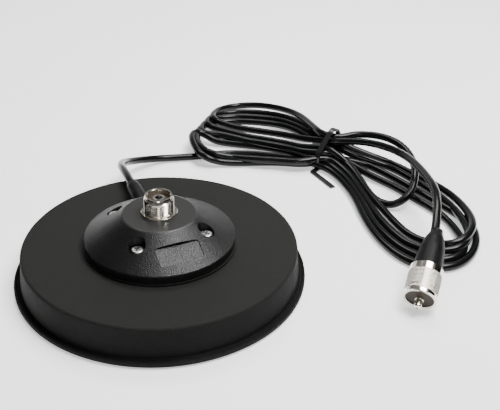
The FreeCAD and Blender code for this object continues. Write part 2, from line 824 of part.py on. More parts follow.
def make_cable_sleeve():
    """A moulded strain relief: straight through the hub's wall, with a tapering nose outside."""
    body = new_body("cable_sleeve")
    bore = "(cable_diameter / 2 + cable_gap)"
    nose = revolved(body, "sleeve_form", [
        (bore, "0"),
        ("sleeve_radius", "0"),
        ("sleeve_radius", "sleeve_inset"),
        ("sleeve_nose_radius", "sleeve_straight"),
        ("sleeve_end_radius", "sleeve_length"),
        (bore, "sleeve_length"),
    ])
    rounded(body, "sleeve_shoulder", nose, "sleeve_nose_radius", "sleeve_straight", "sleeve_blend")
    wall_point, along = lead_frame()
    start = on_lead_axis(value("hub_radius - sleeve_inset"))
    body.Placement = Placement(start, Rotation(Vector(0, 0, 1), along))
    return keep(body)


def make_core_lead():
    """The insulated centre conductor, from the stripped cable to the contact's solder cup."""
    azimuth = value("lead_azimuth")
    start = on_lead_axis(value(STRIP_START)) - Vector(0, 0, value("core_radius + conductor_gap"))
    radius = value("core_radius")
    lowest = value(f"{CONTACT_FOOT} - core_dip")
    points = [
        start,
        polar(value("core_bend_radius"), azimuth, lowest + value("core_fall")),
        Vector(0, 0, lowest),
        Vector(0, 0, value(f"{CONTACT_FOOT} + contact_cup_depth - core_end_gap")),
    ]
    return keep(solid_feature("core_lead", tube("core_lead", points, 2 * radius)))


def make_braid_lead():
    """The twisted screen, from the stripped cable up to the ground tag's lug."""
    azimuth = value("lead_azimuth")
    start_radius = value(f"{STRIP_START} - braid_overlap")
    start = on_lead_axis(start_radius) + Vector(0, 0, value("braid_radius + conductor_gap"))
    lug_radius = value("tag_reach - tag_width / 2")
    points = [
        start,
        polar((start_radius + lug_radius) / 2, azimuth, start.z + value("braid_rise")),
        polar(lug_radius, azimuth, value(f"{TAG_BASE} - solder_gap")),
    ]
    return keep(solid_feature("braid_lead", tube("braid_lead", points, 2 * value("braid_radius"))))


# Routes of the lead, chosen by hand: the points of each stretch that isn't coiled.
LEAD_ROUTE = [
    on_lead_axis(value(STRIP_START)),
    on_lead_axis(64.0),
    Vector(-35.2, 87.5, 20.5),
    Vector(-32.5, 110.0, 10.5),
    Vector(-17.0, 129.0, 3.0),
    Vector(4.0, 133.3, 2.5),
    Vector(18.0, 136.3, 2.5),
]
LOOP_ROUTE = [
    Vector(109.5, 139.0, 17.5),
    Vector(119.5, 142.8, 18.5),
    Vector(136.0, 138.0, 20.0),
    Vector(148.0, 124.5, 20.0),
    Vector(153.0, 107.5, 17.8),
    Vector(152.0, 90.0, 15.5),
    Vector(147.5, 76.5, 9.5),
    Vector(137.0, 72.0, 3.5),
    Vector(127.5, 78.5, 2.6),
    Vector(123.0, 91.0, 2.6),
]


def plug_frame():
    """The plug's mouth and the direction from the mouth back into the plug."""
    tilt = math.radians(value("plug_tilt"))
    along = polar(math.cos(tilt), value("plug_azimuth"), math.sin(tilt))
    mouth_height = value("ring_radius - ring_lip_bevel") * math.cos(tilt) + value("plug_floor_gap")
    return Vector(value("plug_mouth_x"), value("plug_mouth_y"), mouth_height), along


def on_plug_axis(distance):
    mouth, along = plug_frame()
    return mouth + along * distance


TAIL_ROUTE = [
    on_plug_axis(value("plug_cable_start")),
    on_plug_axis(64.0),
    Vector(152.0, 73.5, 29.0),
    Vector(143.5, 107.0, 24.0),
    Vector(126.0, 128.0, 20.0),
    Vector(108.5, 134.5, 16.8),
]

# The hank lies flat in two lobes, left and right of its tied waist. Each list goes round a lobe.
LEFT_LOBE = [
    (102.0, 145.0), (95.0, 167.0), (82.0, 190.0), (67.0, 209.0), (46.0, 221.0), (27.0, 218.0), (15.0, 208.0),
    (7.5, 193.0), (3.0, 174.0), (2.2, 157.0), (7.5, 142.0), (18.0, 129.5), (36.0, 123.3), (60.0, 121.5),
    (87.6, 120.5),
]
RIGHT_LOBE = [
    (95.6, 119.8), (101.5, 107.0), (107.0, 92.0), (111.0, 77.0), (113.5, 60.0), (115.5, 45.0), (119.5, 30.0),
    (127.0, 17.5), (136.5, 9.0), (147.0, 4.5), (159.0, 6.0), (169.0, 13.0), (177.0, 25.0), (183.0, 42.0),
    (185.0, 60.0), (183.0, 78.0), (177.0, 94.0), (167.0, 107.0), (155.0, 117.5), (140.0, 126.0),
    (125.0, 132.5), (110.0, 139.0),
]
RIGHT_LOBE_HOLE = [
    (121.0, 106.0), (131.4, 97.6), (142.4, 83.9), (153.0, 70.8), (160.0, 61.0), (165.0, 49.0), (166.0, 39.5),
    (160.0, 34.5), (150.0, 35.0), (142.0, 41.0), (135.0, 52.0), (129.5, 67.0), (125.0, 81.0), (120.0, 95.0),
]


def lobe_outline(points, closed):
    """A smooth outline through the points, its ends joined by a straight line unless it is a ring."""
    curve = Part.BSplineCurve()
    places = [Vector(x, y, 0) for x, y in points]
    curve.interpolate(Points=places, PeriodicFlag=closed)
    if closed:
        return Part.Wire(curve.toShape())
    return Part.Wire([curve.toShape(), Part.makeLine(places[-1], places[0])])


def waist_place():
    middle = Vector(value("waist_x"), value("waist_y"), 0)
    return Placement(middle, Rotation(Vector(0, 0, 1), value("waist_azimuth")))


def waist_block(half_length, grown):
    """The bundle at the tie, along X: an oval bar leaning up towards the hank's far side, grown all round."""
    half_width = value("waist_half_width") + grown
    half_thick = value("waist_half_thick") + grown
    corner = Vector(-half_length, -half_width, -half_thick)
    bar = Part.makeBox(2 * half_length, 2 * half_width, 2 * half_thick, corner)
    long_edges = [edge for edge in bar.Edges if abs(edge.tangentAt(edge.FirstParameter).x) > 0.9]
    bar = bar.makeFillet(value("waist_round") + grown, long_edges)
    bar.rotate(Vector(0, 0, 0), Vector(1, 0, 0), value("waist_lean"))
    bar.translate(Vector(0, value("waist_offset"), value("waist_middle")))
    return bar


def make_cord_coil():
    """The hank's outer shape: two flat lobes and the thicker bundle where the tie holds them."""
    lift = Vector(0, 0, value("hank_height"))
    left = Part.Face(lobe_outline(LEFT_LOBE, False)).extrude(lift)
    right = Part.Face(lobe_outline(RIGHT_LOBE, False)).extrude(lift)
    hole = Part.Face(lobe_outline(RIGHT_LOBE_HOLE, True)).extrude(lift)
    right = right.cut(hole)
    eased = []
    for lobe in (left, right):
        rims = [edge for edge in lobe.Edges if edge.BoundBox.ZMin > lift.z - 1e-3]
        curved = [edge for edge in rims if not isinstance(edge.Curve, Part.Line)]
        eased.append(lobe.makeFillet(value("hank_round"), curved))
    waist = waist_block(value("waist_half_length"), 0)
    waist.Placement = waist_place() * waist.Placement
    hank = eased[0].fuse([eased[1], waist]).removeSplitter()
    print("cord_coil solids", len(hank.Solids), "volume", round(hank.Volume))
    return keep(solid_feature("cord_coil", hank))


def make_cable_tie():
    """A flat band round the hank's waist, its loose end lying on the floor."""
    width = value("tie_width")
    thick = value("tie_thick")
    outer = waist_block(width / 2, value("tie_gap") + thick)
    floor = outer.BoundBox.ZMin
    turn = value("tie_turn")
    band = outer.cut(waist_block(width / 2 + value("cut_past"), value("tie_gap")))
    under = Part.makeBox(width, turn, thick, Vector(-width / 2, -turn, floor))
    strip = Part.makeBox(value("tie_strip_length"), width, thick, Vector(0, -width / 2, floor))
    corner = Part.makeCylinder(width / 2, thick, Vector(0, -turn, floor))
    strip.Placement = Placement(Vector(0, -turn, 0), Rotation(Vector(0, 0, 1), value("tie_strip_turn")))
    tie = band.fuse([under, corner, strip]).removeSplitter()
    item = solid_feature("cable_tie", tie)
    item.Placement = waist_place()
    print("cable_tie solids", len(tie.Solids))
    return keep(item)


# Plug: ring, body, insulator, pin, ferrule and boot, all turned about the plug's own axis


def place_on_plug(item):
    mouth, along = plug_frame()
    item.Placement = Placement(mouth, Rotation(Vector(0, 0, 1), along))
    return keep(item)


def make_plug_ring():
    """The coupling ring: smooth bands at both ends of the gripping band, a flange inside its rear."""
    body = new_body("plug_ring")
    flange_front = "(ring_length - ring_flange_length)"
    grip_rear = "(ring_length - ring_rear_band)"
    revolved(body, "ring_form", [
        ("ring_bore_radius", "0"),
        ("ring_band_radius - ring_lip_bevel", "0"),
        ("ring_band_radius", "ring_lip_bevel"),
        ("ring_band_radius", "ring_front_band"),
        ("ring_radius", "ring_front_band"),
        ("ring_radius", grip_rear),
        ("ring_band_radius", grip_rear),
        ("ring_band_radius", "ring_length - ring_rear_bevel"),
        ("ring_band_radius - ring_rear_bevel", "ring_length"),
        ("plug_neck_radius + running_gap", "ring_length"),
        ("plug_neck_radius + running_gap", flange_front),
        ("ring_bore_radius", flange_front),
    ])
    return place_on_plug(body)


def make_plug_body():
    body = new_body("plug_body")
    face = "(plug_face_depth + insulator_cap)"
    head_rear = f"({face} + plug_head_length)"
    insulator_rear = f"({face} + insulator_plug_length)"
    revolved(body, "plug_body_form", [
        ("insulator_plug_radius + fit_gap", face),
        ("plug_head_radius", face),
        ("plug_head_radius", head_rear),
        ("plug_neck_radius", head_rear),
        ("plug_neck_radius", "plug_neck_end"),
        ("plug_barrel_radius", "plug_neck_end"),
        ("plug_barrel_radius", "plug_barrel_end"),
        ("plug_cable_bore", "plug_barrel_end"),
        ("plug_cable_bore", insulator_rear),
        ("insulator_plug_radius + fit_gap", insulator_rear),
    ])
    return place_on_plug(body)


def make_plug_insulator():
    body = new_body("plug_insulator")
    face = "(plug_face_depth + insulator_cap)"
    revolved(body, "plug_insulator_form", [
        ("pin_radius + fit_gap", "plug_face_depth"),
        ("plug_head_radius", "plug_face_depth"),
        ("plug_head_radius", face),
        ("insulator_plug_radius", face),
        ("insulator_plug_radius", f"{face} + insulator_plug_length"),
        ("pin_radius + fit_gap", f"{face} + insulator_plug_length"),
    ])
    return place_on_plug(body)


def make_plug_pin():
    """The hollow centre pin; its collar seats on the insulator's face."""
    length = value("pin_reach + pin_rear")
    tip = Vector(0, 0, -value("pin_reach"))
    shaft = Part.makeCylinder(value("pin_radius"), length, tip)
    nose = [edge for edge in shaft.Edges if edge.BoundBox.ZMax < -value("pin_reach") + 1e-6]
    shaft = shaft.makeFillet(value("pin_nose_round"), nose)
    collar_start = Vector(0, 0, value("plug_face_depth - pin_collar_length"))
    collar = Part.makeCylinder(value("pin_collar_radius"), value("pin_collar_length"), collar_start)
    wire_bore = Part.makeCylinder(value("pin_wire_bore"), length, tip)
    return place_on_plug(solid_feature("plug_pin", shaft.fuse(collar).cut(wire_bore).removeSplitter()))


def make_plug_ferrule():
    """The reducer that fills the plug's barrel round the thin cable."""
    body = new_body("plug_ferrule")
    bore = "(cable_diameter / 2 + cable_gap)"
    revolved(body, "ferrule_form", [
        (bore, "ferrule_start"),
        ("plug_cable_bore - fit_gap", "ferrule_start"),
        ("plug_cable_bore - fit_gap", "plug_barrel_end"),
        (bore, "plug_barrel_end"),
    ])
    return place_on_plug(body)


def make_plug_boot():
    """The soft boot over the plug's rear: wide at the ring, drawn in to the cable like a bottle."""
    body = new_body("plug_boot")
    start = "(ring_length + boot_ring_gap)"
    inside = "(plug_barrel_radius + fit_gap)"
    bore = "(cable_diameter / 2 + cable_gap)"
    form = revolved(body, "plug_boot_form", [
        (inside, "plug_neck_end + plug_boot_gap"),
        ("plug_neck_radius + plug_boot_gap", "plug_neck_end + plug_boot_gap"),
        ("plug_neck_radius + plug_boot_gap", start),
        ("plug_boot_radius", start),
        ("plug_boot_waist_radius", "plug_boot_waist"),
        ("plug_boot_shoulder_radius", "plug_boot_shoulder"),
        ("plug_boot_neck_radius", "plug_boot_neck"),
        ("plug_boot_neck_radius", "plug_boot_end"),
        (bore, "plug_boot_end"),
        (bore, "plug_barrel_end + plug_boot_gap"),
        (inside, "plug_barrel_end + plug_boot_gap"),
    ])
    radius = "plug_boot_shoulder_radius"
    rounded(body, "plug_boot_shoulder", form, radius, "plug_boot_shoulder", "plug_boot_blend")
    return place_on_plug(body)


make_rubber_boot()
make_base_pad()
make_steel_cup()
make_ring_magnet()
make_hub_gasket()
make_hub_cover()
make_hub_screws()
make_hub_nuts()
make_socket_shell()
make_socket_insulator()
make_socket_contact()
make_lock_washer()
make_ground_tag()
make_socket_nut()
make_cable_sleeve()
make_core_lead()
make_braid_lead()
keep(solid_feature("cord_lead", tube("cord_lead", LEAD_ROUTE, value("cable_diameter"))))
make_cord_coil()
keep(solid_feature("cord_loop", tube("cord_loop", LOOP_ROUTE, value("cable_diameter"))))
keep(solid_feature("cord_tail", tube("cord_tail", TAIL_ROUTE, value("cable_diameter"))))
make_cable_tie()
make_plug_ring()
make_plug_body()
make_plug_insulator()
make_plug_pin()
make_plug_ferrule()
make_plug_boot()

doc.recompute()
for item in doc.Objects:
    if "Invalid" in item.State or "Error" in item.State:
        raise RuntimeError(item.Label + " failed to build")
os.makedirs("parts", exist_ok=True)
for item in PARTS:
    if item.Shape.isNull() or not item.Shape.isValid():
        raise RuntimeError(item.Label + " has no valid shape")
    item.Shape.exportStep(f"parts/{item.Label}.step")
print(len(PARTS), "sub-parts written")
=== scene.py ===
import bpy
import json
import math
import numpy as np
from mathutils import Matrix, Vector


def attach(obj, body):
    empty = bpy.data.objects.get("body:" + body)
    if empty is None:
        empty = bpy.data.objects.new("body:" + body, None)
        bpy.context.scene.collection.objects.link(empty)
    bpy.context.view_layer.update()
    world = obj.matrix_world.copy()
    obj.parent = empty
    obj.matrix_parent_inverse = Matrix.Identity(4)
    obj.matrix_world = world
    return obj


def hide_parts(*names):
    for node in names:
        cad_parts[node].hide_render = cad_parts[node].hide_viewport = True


# Looks of a magnetic antenna mount: rubber boot, moulded hub, threaded socket, tied coaxial lead and plug.
# Metres, in the CAD frame. Numbers named _MM are millimetres.

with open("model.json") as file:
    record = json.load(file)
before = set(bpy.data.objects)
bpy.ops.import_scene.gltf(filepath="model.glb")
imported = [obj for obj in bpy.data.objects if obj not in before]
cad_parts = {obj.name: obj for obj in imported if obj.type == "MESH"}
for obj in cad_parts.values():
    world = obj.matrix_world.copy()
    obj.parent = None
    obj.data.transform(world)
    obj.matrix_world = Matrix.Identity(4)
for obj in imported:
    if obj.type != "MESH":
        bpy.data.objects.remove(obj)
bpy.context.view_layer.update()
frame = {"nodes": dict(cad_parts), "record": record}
nodes = frame["nodes"]
scene = bpy.context.scene
MM = 0.001


# Shader maths


class Socket:
    """A shader value that adds and multiplies like a number."""

    def __init__(self, tree, link):
        self.tree = tree
        self.link = link

    def _maths(self, kind, *values):
        node = self.tree.nodes.new("ShaderNodeMath")
        node.operation = kind
        for slot, entry in zip(node.inputs, values):
            if isinstance(entry, Socket):
                self.tree.links.new(entry.link, slot)
            else:
                slot.default_value = entry
        return Socket(self.tree, node.outputs[0])

    def __add__(self, other):
        return self._maths("ADD", self, other)

    def __mul__(self, other):
        return self._maths("MULTIPLY", self, other)

    def ramp(self, low, high, to_low=0.0, to_high=1.0):
        """Straight from to_low at low to to_high at high, held outside."""
        node = self.tree.nodes.new("ShaderNodeMapRange")
        self.tree.links.new(self.link, node.inputs["Value"])
        for name, number in (("From Min", low), ("From Max", high), ("To Min", to_low), ("To Max", to_high)):
            node.inputs[name].default_value = number
        return Socket(self.tree, node.outputs["Result"])


class Finish:
    """A material on one Principled shader, with helpers for what varies over the surface."""

    def __init__(self, name, color, roughness, metallic=0.0, specular=0.5):
        self.material = bpy.data.materials.new(name)
        self.material.use_nodes = True
        self.tree = self.material.node_tree
        self.shader = self.tree.nodes["Principled BSDF"]
        self.set("Base Color", (*color, 1.0))
        self.set("Roughness", roughness)
        self.set("Metallic", metallic)
        self.set("Specular IOR Level", specular)

    def set(self, name, entry):
        slot = self.shader.inputs[name]
        if isinstance(entry, Socket):
            self.tree.links.new(entry.link, slot)
        else:
            slot.default_value = entry

    def place(self):
        """The position on the surface in metres, as three values."""
        coordinates = self.tree.nodes.new("ShaderNodeTexCoord")
        split = self.tree.nodes.new("ShaderNodeSeparateXYZ")
        self.tree.links.new(coordinates.outputs["Object"], split.inputs[0])
        return [Socket(self.tree, split.outputs[axis]) for axis in range(3)]

    def noise(self, scale, detail=2.0):
        """Smooth noise from 0 to 1, with scale waves a metre."""
        coordinates = self.tree.nodes.new("ShaderNodeTexCoord")
        node = self.tree.nodes.new("ShaderNodeTexNoise")
        node.inputs["Scale"].default_value = scale
        node.inputs["Detail"].default_value = detail
        self.tree.links.new(coordinates.outputs["Object"], node.inputs["Vector"])
        return Socket(self.tree, node.outputs[0])

    def mix(self, low, high, share):
        """A colour between two colours."""
        first_color, second_color = 6, 7
        node = self.tree.nodes.new("ShaderNodeMix")
        node.data_type = "RGBA"
        node.inputs[first_color].default_value = (*low, 1.0)
        node.inputs[second_color].default_value = (*high, 1.0)
        self.tree.links.new(share.link, node.inputs[0])
        return Socket(self.tree, node.outputs[2])

    def bump(self, height, strength, distance):
        node = self.tree.nodes.new("ShaderNodeBump")
        node.inputs["Strength"].default_value = strength
        node.inputs["Distance"].default_value = distance
        self.tree.links.new(height.link, node.inputs["Height"])
        self.tree.links.new(node.outputs[0], self.shader.inputs["Normal"])
        return self


BOOT_SHOULDER, BOOT_TOP = 0.0185, 0.0199
# Painted light: the side colour is painted shade on the wall, the top colour is painted light on the top.
BOOT_SHADED_SIDE_COLOR, BOOT_LIT_TOP_COLOR = (0.0045, 0.005, 0.0045), (0.013, 0.0139, 0.0121)


def boot_rubber():
    """Matte rubber: a wall painted darker as painted shade, a top painted lighter as painted light, a
    slightly clouded top and a fine grain.
    """
    finish = Finish("boot_rubber", BOOT_SHADED_SIDE_COLOR, 0.6, specular=0.1)
    cloud = finish.noise(25.0).ramp(0.3, 0.7)
    # Painted light: by height, the top is painted lighter than the wall; random clouding and grain lie over
    # it.
    top = finish.place()[2].ramp(BOOT_SHOULDER, BOOT_TOP)
    light = top * (cloud * 0.25 + 0.75) + finish.noise(2400.0, 1.0).ramp(0.35, 0.75, -0.12, 0.2)
    finish.set("Base Color", finish.mix(BOOT_SHADED_SIDE_COLOR, BOOT_LIT_TOP_COLOR, light))
    finish.set("Roughness", cloud * 0.1 + 0.62)
    return finish.bump(finish.noise(1500.0, 1.5), 0.8, 0.0004).material


HUB_EDGE, HUB_FLAT = 0.0381, 0.0385
# Painted reflection: the flat colour is lighter than the cone's, standing in for what the glossy flat
# reflects.
HUB_COLOR, HUB_FLAT_REFLECTION_COLOR = (0.0045, 0.0045, 0.0045), (0.026, 0.026, 0.025)


def hub_plastic():
    """Moulded plastic: a fine grain on the cone, and a smoother flat round the socket, painted lighter as a
    painted reflection.
    """
    finish = Finish("hub_plastic", HUB_COLOR, 0.3, specular=0.28)
    flat = finish.place()[2].ramp(HUB_EDGE, HUB_FLAT)
    grain = finish.noise(1900.0, 1.5) * (flat * -0.95 + 1.0)
    finish.set("Roughness", flat * -0.1 + 0.3)
    # Painted reflection: the flat round the socket is painted lighter than the cone.
    finish.set("Base Color", finish.mix(HUB_COLOR, HUB_FLAT_REFLECTION_COLOR, flat))
    return finish.bump(grain, 0.5, 0.0005).material


def metal(name, color, roughness):
    """Metal with slightly uneven polish."""
    finish = Finish(name, color, roughness, metallic=1.0)
    finish.set("Roughness", finish.noise(400.0).ramp(0.3, 0.7, roughness * 0.85, roughness * 1.2))
    return finish.material


FINISHES = {
    "boot_rubber": boot_rubber(),
    "pad_vinyl": Finish("pad_vinyl", (0.03, 0.03, 0.03), 0.6).material,
    "plated_steel": metal("plated_steel", (0.62, 0.61, 0.58), 0.35),
    "ferrite": Finish("ferrite", (0.05, 0.05, 0.055), 0.5, metallic=0.3).material,
    "gasket_rubber": Finish("gasket_rubber", (0.01, 0.01, 0.01), 0.6, specular=0.15).material,
    "hub_plastic": hub_plastic(),
    "screw_steel": metal("screw_steel", (0.45, 0.44, 0.42), 0.3),
    "nickel": metal("nickel", (0.86, 0.82, 0.74), 0.14),
    "phenolic": Finish("phenolic", (0.028, 0.020, 0.013), 0.42, specular=0.3).material,
    "contact_metal": metal("contact_metal", (0.82, 0.79, 0.73), 0.18),
    "tinned_copper": metal("tinned_copper", (0.72, 0.70, 0.66), 0.4),
    "core_plastic": Finish("core_plastic", (0.8, 0.79, 0.75), 0.4).material,
    "sleeve_vinyl": Finish("sleeve_vinyl", (0.004, 0.0045, 0.004), 0.42, specular=0.1).material,
    "cable_vinyl": Finish("cable_vinyl", (0.0035, 0.004, 0.0035), 0.2, specular=0.2).material,
    "tie_plastic": Finish("tie_plastic", (0.006, 0.006, 0.006), 0.3).material,
}
for entry in frame["record"]["subparts"]:
    node = nodes[entry["node"]]
    node.data.materials.clear()
    node.data.materials.append(FINISHES[entry["material_slot"]])


# Thread and grip: a turned band of a CAD piece, swapped for one with its fine form


def across_axis(axis):
    """Two directions square to an axis and to each other."""
    side = np.cross(axis, (1.0, 0.0, 0.0) if abs(axis[0]) < 0.8 else (0.0, 1.0, 0.0))
    side = side / np.linalg.norm(side)
    return side, np.cross(axis, side)


def wave(turns):
    """A triangle wave: 1 at whole numbers, 0 halfway between."""
    return np.abs(2 * (turns - np.floor(turns)) - 1)


BAND_REACH_MM, BAND_END_MM = 0.03, 0.02
BAND_TILT = 0.3
CREASE_DEGREES = 28


def formed_band(name, node_name, body, foot, axis, radius, first, last, columns, rows, depth_of, smooth):
    """The CAD piece without its plain band from first to last along the axis, and with a grid there.

    The grid's radius is the band's radius minus depth_of(angle, distance), in mm, and the grid's point at
    an angle a and a distance s is foot + axis * s + (side * cos(a) + other * sin(a)) * radius.
    """
    mesh = nodes[node_name].data
    points = np.empty(3 * len(mesh.vertices))
    mesh.vertices.foreach_get("co", points)
    to_world = np.array(nodes[node_name].matrix_world)
    points = (points.reshape(-1, 3) @ to_world[:3, :3].T + to_world[:3, 3]) / MM
    foot, axis = np.array(foot), np.array(axis)
    side, other = across_axis(axis)
    along = (points - foot) @ axis
    away = np.linalg.norm(points - foot - along[:, None] * axis, axis=1)
    on_band = abs(away - radius) < BAND_REACH_MM
    on_band &= (along > first - BAND_END_MM) & (along < last + BAND_END_MM)
    kept = []
    for face in mesh.polygons:
        corners = list(face.vertices)
        across = np.cross(points[corners[1]] - points[corners[0]], points[corners[2]] - points[corners[0]])
        facing = abs(across @ axis) < BAND_TILT * np.linalg.norm(across)
        if not (facing and on_band[corners].all()):
            kept.append(corners)
    angle, distance = np.meshgrid(np.arange(columns) * 2 * np.pi / columns, np.linspace(first, last, rows))
    reach = radius - depth_of(angle, distance)
    reach[0] = reach[-1] = radius
    grid = foot + distance[..., None] * axis
    grid = grid + (np.cos(angle)[..., None] * side + np.sin(angle)[..., None] * other) * reach[..., None]
    start = len(points)
    cells = []
    for row in range(rows - 1):
        for column in range(columns):
            here = start + row * columns + column
            beside = start + row * columns + (column + 1) % columns
            cells.append((here, beside, beside + columns, here + columns))
    formed = bpy.data.meshes.new(name)
    formed.from_pydata((np.vstack((points, grid.reshape(-1, 3))) * MM).tolist(), [], kept + cells)
    formed.polygons.foreach_set("use_smooth", [True] * len(kept) + [smooth] * len(cells))
    formed.set_sharp_from_angle(angle=math.radians(CREASE_DEGREES))
    formed.materials.append(FINISHES["nickel"])
    piece = bpy.data.objects.new(name, formed)
    scene.collection.objects.link(piece)
    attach(piece, body)
    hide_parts(node_name)
    return piece


THREAD_RADIUS_MM, THREAD_FOOT_MM, THREAD_TOP_MM = 7.94, 39.7, 46.9
THREAD_PITCH_MM, THREAD_DEPTH_MM = 1.0583, 0.48
THREAD_FLAT = 0.12
THREAD_RUNOUT_MM, THREAD_START_MM = 0.5, 0.15
THREAD_COLUMNS, THREAD_ROWS = 112, 96


def fade(distance, first, last, first_reach, last_reach):
    """From 0 at both ends of a band to 1 within it."""
    return np.clip((distance - first) / first_reach, 0, 1) * np.clip((last - distance) / last_reach, 0, 1)


def thread_depth(angle, height):
    """A right-handed screw thread with narrow flats at crest and root, fading out at both ends.

    The depth is the full depth times (groove - flat) / (1 - 2 * flat), held between 0 and 1, where the
    groove is one less a triangle wave of height / pitch - angle / (2 * pi).
    """
    groove = 1 - wave(height / THREAD_PITCH_MM - angle / (2 * np.pi))
    ends = fade(height, THREAD_FOOT_MM, THREAD_TOP_MM, THREAD_RUNOUT_MM, THREAD_START_MM)
    return THREAD_DEPTH_MM * np.clip((groove - THREAD_FLAT) / (1 - 2 * THREAD_FLAT), 0, 1) * ends


GRIP_RADIUS_MM, GRIP_FIRST_MM, GRIP_LAST_MM = 9.1, 2.2, 14.4
GRIP_TEETH, GRIP_PITCH_MM, GRIP_DEPTH_MM = 36, 1.6, 0.36
GRIP_SLOPE, GRIP_FADE_MM = 1.25, 0.12
GRIP_COLUMNS, GRIP_ROWS = GRIP_TEETH * 8, 82


def grip_depth(angle, distance):
    """Small pyramids between two sets of grooves that cross.

    The depth is the full depth times 1 - slope * ridge, where the ridge is the lesser of two triangle
    waves, of around + forward and around - forward, both counted in teeth.
    """
    around, forward = angle * GRIP_TEETH / (2 * np.pi), (distance - GRIP_FIRST_MM) / GRIP_PITCH_MM
    ridge = np.minimum(wave(around + forward), wave(around - forward))
    ends = fade(distance, GRIP_FIRST_MM, GRIP_LAST_MM, GRIP_FADE_MM, GRIP_FADE_MM)
    return GRIP_DEPTH_MM * (1 - np.clip(ridge * GRIP_SLOPE, 0, 1)) * ends


SOCKET_FOOT_MM, SOCKET_AXIS = (0.0, 0.0, 0.0), (0.0, 0.0, 1.0)
PLUG_MOUTH_MM, PLUG_AXIS = (135.76, -29.45, 8.104), (0.307269, 0.867715, 0.390731)


def make_metal_bands():
    """The socket with its thread and the ring with its grip; the ring is returned."""
    formed_band("socket_threaded", "socket_shell", "base", SOCKET_FOOT_MM, SOCKET_AXIS, THREAD_RADIUS_MM,
                THREAD_FOOT_MM, THREAD_TOP_MM, THREAD_COLUMNS, THREAD_ROWS, thread_depth, True)
    return formed_band("ring_gripped", "plug_ring", "coupling_ring", PLUG_MOUTH_MM, PLUG_AXIS, GRIP_RADIUS_MM,
                       GRIP_FIRST_MM, GRIP_LAST_MM, GRIP_COLUMNS, GRIP_ROWS, grip_depth, False)


gripped_ring = make_metal_bands()


# The lead: one run from the hub, round the tied hank and on to the plug


CABLE_MM = 4.95

# Where the lead leaves the hub and how it lies until it joins the hank.
LEAD_MM = [
    (-13.358, 30.726, 25.614), (-25.520, 58.696, 28.282), (-35.2, 87.5, 20.5), (-32.5, 110.0, 10.5),
    (-17.0, 129.0, 3.0), (4.0, 133.3, 2.5), (18.0, 136.3, 2.5),
]
# The lead's run between the hank's left strands up to the tie.
LEAD_INSIDE_MM = [
    (30.0, 140.6, 2.5), (46.7, 140.6, 2.5), (60.5, 138.6, 2.5), (74.3, 135.4, 2.9), (85.5, 130.4, 3.3),
]
# The small loop beyond the tie, from the hank's near side round to its far side.
LOOP_MM = [
    (107.0, 125.5, 10.0), (115.1, 118.3, 5.4), (119.9, 104.2, 3.2),
    (123.0, 91.0, 2.6), (127.5, 78.5, 2.6), (137.0, 72.0, 3.5), (147.5, 76.5, 9.5), (152.0, 90.0, 15.5),
    (153.0, 107.5, 17.8), (148.0, 124.5, 20.0), (136.0, 138.0, 20.0), (119.5, 142.8, 18.5),
    (109.5, 139.0, 17.5),
]
# The last stretch from the tie over the hank to the plug.
TAIL_MM = [
    (108.5, 134.5, 16.8), (126.0, 128.0, 20.0), (143.5, 107.0, 24.0), (152.0, 73.5, 29.0),
    (155.425, 26.084, 33.111), (140.984, -14.699, 14.746),
]

# Strands side by side in the tie, as (across, up) in its plane; across grows away from the viewer.
TIE_CENTRE_MM = np.array((97.0, 130.0))
TIE_ACROSS = np.array((0.6, 0.8))
TIE_SLOTS = {
    "out": [(-7.6, 3.6), (-3.0, 4.2), (-5.6, 8.0), (-1.8, 10.6), (1.6, 13.8), (5.3, 16.6)],
    "back": [(1.9, 6.6), (5.6, 9.6), (9.3, 12.6), (13.4, 14.9), (9.9, 18.2)],
}

# Where the last two left turns leave the tie, points that spread their bend.
LEFT_BENDS_MM = {3: [(98.5, 147.5, 14.5)], 4: [(95.5, 143.5, 17.8), (91.5, 155.0, 16.5)]}

# Each lobe has one turn that lies apart, then turns that fan out from a first to a last one.
LEFT_FREE_MM = [
    (81.1, 137.1, 5.5), (67.5, 144.8, 4.0), (50.8, 151.2, 3.0), (35.2, 155.0, 2.5), (22.4, 156.1, 3.5),
    (15.6, 159.0, 6.5), (10.9, 161.0, 8.2), (7.2, 158.8, 9.0), (5.6, 153.0, 9.4), (6.2, 145.5, 9.5),
    (8.6, 137.0, 9.0), (12.2, 127.9, 8.6), (18.9, 123.5, 6.6), (26.5, 125.4, 3.4), (37.4, 126.1, 2.5),
    (50.9, 127.8, 2.5), (67.2, 127.8, 3.0), (80.6, 124.1, 3.8),
]
LEFT_FIRST_MM = [
    (82.0, 164.4, 9.0), (68.1, 180.5, 6.5), (50.5, 187.2, 5.0), (32.7, 189.6, 4.0), (15.2, 182.6, 5.0),
    (8.3, 165.1, 7.5), (9.2, 147.2, 8.0), (14.6, 132.8, 8.6), (23.1, 127.2, 8.0), (35.9, 129.8, 4.6),
    (50.8, 124.6, 6.6), (67.0, 123.5, 6.4), (80.3, 120.0, 7.4),
]
LEFT_LAST_MM = [
    (82.7, 185.7, 12.2), (68.5, 206.9, 8.0), (50.3, 219.9, 4.6), (33.3, 221.0, 2.5), (21.4, 209.7, 4.0),
    (17.4, 192.5, 7.0), (20.7, 182.6, 7.5), (27.1, 178.9, 6.5), (36.0, 175.7, 5.5), (49.1, 171.7, 5.5),
    (62.1, 166.1, 6.5), (74.7, 157.7, 8.5), (84.0, 148.3, 11.0),
]
RIGHT_FREE_MM = [
    (99.3, 119.3, 3.3), (105.2, 109.6, 3.0), (110.6, 95.5, 2.8), (114.3, 80.0, 2.6), (116.9, 59.7, 2.5),
    (121.6, 40.2, 2.5), (128.8, 23.6, 2.5), (137.4, 12.3, 2.5), (148.3, 7.4, 2.5), (160.6, 8.0, 2.5),
    (172.0, 16.8, 2.5), (180.0, 32.5, 2.5), (182.2, 49.0, 2.5), (178.3, 60.2, 2.5), (171.2, 71.1, 2.5),
    (159.2, 88.0, 2.5), (145.7, 105.7, 2.5), (136.5, 116.4, 2.8), (125.3, 125.3, 4.2), (114.6, 125.5, 6.5),
]
